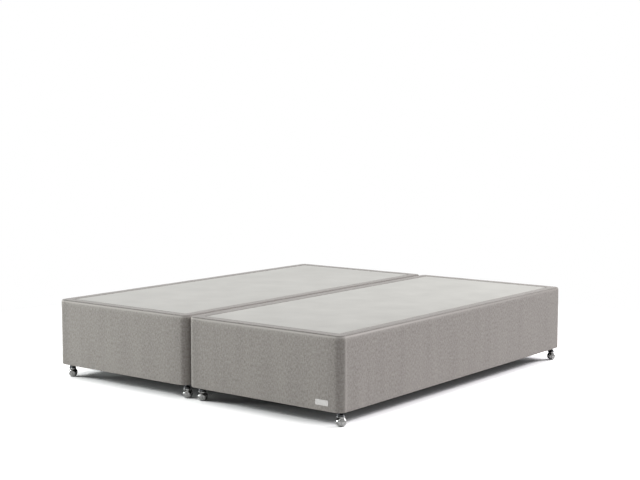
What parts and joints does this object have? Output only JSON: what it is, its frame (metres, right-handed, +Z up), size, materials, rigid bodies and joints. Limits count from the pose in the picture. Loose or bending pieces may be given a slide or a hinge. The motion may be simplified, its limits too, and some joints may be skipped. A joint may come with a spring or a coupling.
{
  "type": "divan bed base",
  "caption": "Upholstered divan bed base split lengthways, with a padded fabric border, a flush off-white platform top and tilted chrome ball castors.",
  "frame": {"origin": "on the floor under the centre of the whole base", "axes": "+X across the width towards the right half, +Y along the length from the front (foot) end to the rear (head) end, +Z up"},
  "size_m": [1.806, 2, 0.4022],
  "materials": {
    "cover_fabric": "woven marl upholstery cloth, matt",
    "platform_cloth": "off-white brushed platform cloth, matt",
    "dust_fabric": "black non-woven polypropylene",
    "softwood": "planed softwood, unfinished",
    "chipboard": "raw chipboard",
    "hardboard": "hardboard",
    "chrome": "bright chrome plate",
    "zinc_steel": "zinc-plated steel",
    "brushed_plate": "brushed, bare"
  },
  "bodies": {
    "base": {"left_side_cover": "cover_fabric", "left_top_band": "cover_fabric", "left_platform_cloth": "platform_cloth", "left_deck_board": "hardboard", "left_front_frame": "softwood", "left_rear_frame": "softwood", "left_outer_side_board": "chipboard", "left_inner_side_board": "chipboard", "left_cross_frame": "softwood", "left_dust_cover": "dust_fabric", "left_front_outer_castor_socket": "zinc_steel", "left_front_inner_castor_socket": "zinc_steel", "left_rear_outer_castor_socket": "zinc_steel", "left_rear_inner_castor_socket": "zinc_steel", "right_side_cover": "cover_fabric", "right_top_band": "cover_fabric", "right_platform_cloth": "platform_cloth", "right_deck_board": "hardboard", "right_front_frame": "softwood", "right_rear_frame": "softwood", "right_outer_side_board": "chipboard", "right_inner_side_board": "chipboard", "right_cross_frame": "softwood", "right_dust_cover": "dust_fabric", "right_front_outer_castor_socket": "zinc_steel", "right_front_inner_castor_socket": "zinc_steel", "right_rear_outer_castor_socket": "zinc_steel", "right_rear_inner_castor_socket": "zinc_steel", "front_plate": "brushed_plate", "front_link_pivot": "zinc_steel", "front_link_stud": "zinc_steel", "rear_link_pivot": "zinc_steel", "rear_link_stud": "zinc_steel"},
    "left_front_outer_castor_swivel": {"left_front_outer_castor_stem": "zinc_steel", "left_front_outer_castor_hood": "chrome"},
    "left_front_outer_castor_roller": {"left_front_outer_castor_wheel": "chrome"},
    "left_front_inner_castor_swivel": {"left_front_inner_castor_stem": "zinc_steel", "left_front_inner_castor_hood": "chrome"},
    "left_front_inner_castor_roller": {"left_front_inner_castor_wheel": "chrome"},
    "left_rear_outer_castor_swivel": {"left_rear_outer_castor_stem": "zinc_steel", "left_rear_outer_castor_hood": "chrome"},
    "left_rear_outer_castor_roller": {"left_rear_outer_castor_wheel": "chrome"},
    "left_rear_inner_castor_swivel": {"left_rear_inner_castor_stem": "zinc_steel", "left_rear_inner_castor_hood": "chrome"},
    "left_rear_inner_castor_roller": {"left_rear_inner_castor_wheel": "chrome"},
    "right_front_outer_castor_swivel": {"right_front_outer_castor_stem": "zinc_steel", "right_front_outer_castor_hood": "chrome"},
    "right_front_outer_castor_roller": {"right_front_outer_castor_wheel": "chrome"},
    "right_front_inner_castor_swivel": {"right_front_inner_castor_stem": "zinc_steel", "right_front_inner_castor_hood": "chrome"},
    "right_front_inner_castor_roller": {"right_front_inner_castor_wheel": "chrome"},
    "right_rear_outer_castor_swivel": {"right_rear_outer_castor_stem": "zinc_steel", "right_rear_outer_castor_hood": "chrome"},
    "right_rear_outer_castor_roller": {"right_rear_outer_castor_wheel": "chrome"},
    "right_rear_inner_castor_swivel": {"right_rear_inner_castor_stem": "zinc_steel", "right_rear_inner_castor_hood": "chrome"},
    "right_rear_inner_castor_roller": {"right_rear_inner_castor_wheel": "chrome"},
    "front_link": {"front_link_bar": "zinc_steel"},
    "rear_link": {"rear_link_bar": "zinc_steel"}
  },
  "joints": [
    {"name": "left_front_outer_castor_swivel_turn", "type": "hinge", "parent": "base", "child": "left_front_outer_castor_swivel", "pos_m": [-0.858, -0.955, 0.07], "axis": [0, 0, 1], "continuous": true},
    {"name": "left_front_outer_castor_wheel_roll", "type": "hinge", "parent": "left_front_outer_castor_swivel", "child": "left_front_outer_castor_roller", "pos_m": [-0.85129, -0.95064, 0.0219], "axis": [-0.7881, -0.5118, -0.342], "continuous": true},
    {"name": "left_front_inner_castor_swivel_turn", "type": "hinge", "parent": "base", "child": "left_front_inner_castor_swivel", "pos_m": [-0.048, -0.955, 0.07], "axis": [0, 0, 1], "continuous": true},
    {"name": "left_front_inner_castor_wheel_roll", "type": "hinge", "parent": "left_front_inner_castor_swivel", "child": "left_front_inner_castor_roller", "pos_m": [-0.04129, -0.95064, 0.0219], "axis": [-0.7881, -0.5118, -0.342], "continuous": true},
    {"name": "left_rear_outer_castor_swivel_turn", "type": "hinge", "parent": "base", "child": "left_rear_outer_castor_swivel", "pos_m": [-0.858, 0.955, 0.07], "axis": [0, 0, 1], "continuous": true},
    {"name": "left_rear_outer_castor_wheel_roll", "type": "hinge", "parent": "left_rear_outer_castor_swivel", "child": "left_rear_outer_castor_roller", "pos_m": [-0.85129, 0.95936, 0.0219], "axis": [-0.7881, -0.5118, -0.342], "continuous": true},
    {"name": "left_rear_inner_castor_swivel_turn", "type": "hinge", "parent": "base", "child": "left_rear_inner_castor_swivel", "pos_m": [-0.048, 0.955, 0.07], "axis": [0, 0, 1], "continuous": true},
    {"name": "left_rear_inner_castor_wheel_roll", "type": "hinge", "parent": "left_rear_inner_castor_swivel", "child": "left_rear_inner_castor_roller", "pos_m": [-0.04129, 0.95936, 0.0219], "axis": [-0.7881, -0.5118, -0.342], "continuous": true},
    {"name": "right_front_outer_castor_swivel_turn", "type": "hinge", "parent": "base", "child": "right_front_outer_castor_swivel", "pos_m": [0.858, -0.955, 0.07], "axis": [0, 0, 1], "continuous": true},
    {"name": "right_front_outer_castor_wheel_roll", "type": "hinge", "parent": "right_front_outer_castor_swivel", "child": "right_front_outer_castor_roller", "pos_m": [0.86471, -0.95064, 0.0219], "axis": [-0.7881, -0.5118, -0.342], "continuous": true},
    {"name": "right_front_inner_castor_swivel_turn", "type": "hinge", "parent": "base", "child": "right_front_inner_castor_swivel", "pos_m": [0.048, -0.955, 0.07], "axis": [0, 0, 1], "continuous": true},
    {"name": "right_front_inner_castor_wheel_roll", "type": "hinge", "parent": "right_front_inner_castor_swivel", "child": "right_front_inner_castor_roller", "pos_m": [0.05471, -0.95064, 0.0219], "axis": [-0.7881, -0.5118, -0.342], "continuous": true},
    {"name": "right_rear_outer_castor_swivel_turn", "type": "hinge", "parent": "base", "child": "right_rear_outer_castor_swivel", "pos_m": [0.858, 0.955, 0.07], "axis": [0, 0, 1], "continuous": true},
    {"name": "right_rear_outer_castor_wheel_roll", "type": "hinge", "parent": "right_rear_outer_castor_swivel", "child": "right_rear_outer_castor_roller", "pos_m": [0.86471, 0.95936, 0.0219], "axis": [-0.7881, -0.5118, -0.342], "continuous": true},
    {"name": "right_rear_inner_castor_swivel_turn", "type": "hinge", "parent": "base", "child": "right_rear_inner_castor_swivel", "pos_m": [0.048, 0.955, 0.07], "axis": [0, 0, 1], "continuous": true},
    {"name": "right_rear_inner_castor_wheel_roll", "type": "hinge", "parent": "right_rear_inner_castor_swivel", "child": "right_rear_inner_castor_roller", "pos_m": [0.05471, 0.95936, 0.0219], "axis": [-0.7881, -0.5118, -0.342], "continuous": true},
    {"name": "front_link_swing", "type": "hinge", "parent": "base", "child": "front_link", "pos_m": [0.051, -0.8, 0.068], "axis": [0, 0, -1], "range_deg": [0, 180]},
    {"name": "rear_link_swing", "type": "hinge", "parent": "base", "child": "rear_link", "pos_m": [0.051, 0.8, 0.068], "axis": [0, 0, 1], "range_deg": [0, 180]}
  ]
}
